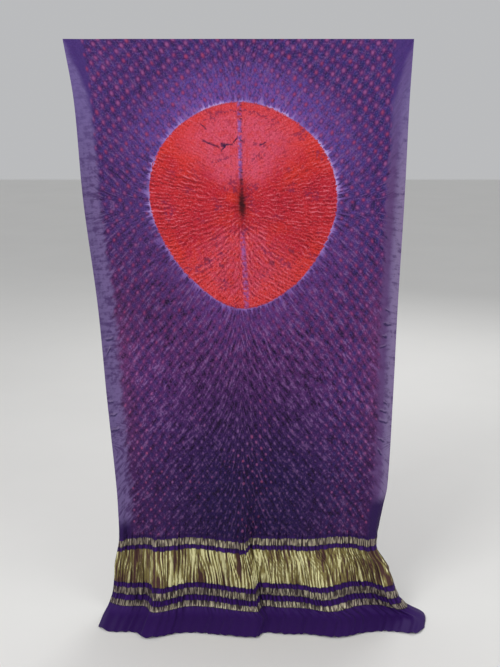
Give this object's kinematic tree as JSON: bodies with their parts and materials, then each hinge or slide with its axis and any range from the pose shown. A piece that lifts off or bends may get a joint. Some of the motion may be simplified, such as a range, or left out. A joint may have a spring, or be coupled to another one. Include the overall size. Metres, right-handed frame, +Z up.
{
  "type": "bandhani cloth",
  "caption": "Tie-dyed bandhani cloth hung from its top edge: dotted violet field, large red tied disc, woven gold bands gathered at its lower end.",
  "frame": {"origin": "middle of the cloth's top edge, where it is held", "axes": "+X to the right seen from the front, +Y to the back of the cloth, +Z up"},
  "size_m": [1.0001, 0.1689, 1.6407],
  "materials": {
    "dyed_silk": "crinkled tie-dyed silk, violet with a red disc, with woven gold bands at the lower end"
  },
  "bodies": {
    "root": {"bandhani_cloth": "dyed_silk"}
  },
  "joints": []
}
